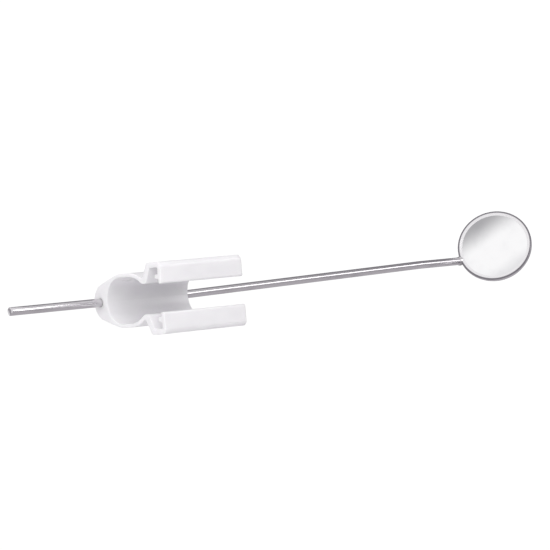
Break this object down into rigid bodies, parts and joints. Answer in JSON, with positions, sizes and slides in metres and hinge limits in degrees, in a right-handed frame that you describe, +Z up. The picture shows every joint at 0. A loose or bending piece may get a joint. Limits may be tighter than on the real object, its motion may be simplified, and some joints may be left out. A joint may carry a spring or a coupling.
{
  "type": "clip-on mouth mirror",
  "caption": "Small round mirror on a long steel stem that slides and turns in a push-on plastic clip with an open channel.",
  "frame": {"origin": "axis of the clip's round cavity, halfway along the clip", "axes": "+X along the stem towards the mirror, -Y out of the clip's mouth, +Z up across the two arms of the clip"},
  "size_m": [0.1837, 0.0307, 0.0258],
  "materials": {
    "clip_plastic": "milky white, soft gloss",
    "stem_steel": "polished",
    "head_steel": "polished",
    "solder": "satin",
    "glass": "clear",
    "silver": "silvered",
    "cushion": "matt"
  },
  "bodies": {
    "clip": {"clip": "clip_plastic"},
    "shank": {"stem_shank": "stem_steel"},
    "arm": {"stem_arm": "stem_steel", "solder_collar": "solder", "head_cup": "head_steel", "head_bezel": "head_steel", "glass_disc": "glass", "silver_layer": "silver", "head_cushion": "cushion"}
  },
  "joints": [
    {"name": "stem_slide", "type": "slide", "parent": "clip", "child": "shank", "axis": [1, 0, 0], "range_m": [0, 0.028]},
    {"name": "stem_turn", "type": "hinge", "parent": "shank", "child": "arm", "pos_m": [0.01475, 0.00958, 0], "axis": [1, 0, 0], "continuous": true}
  ]
}
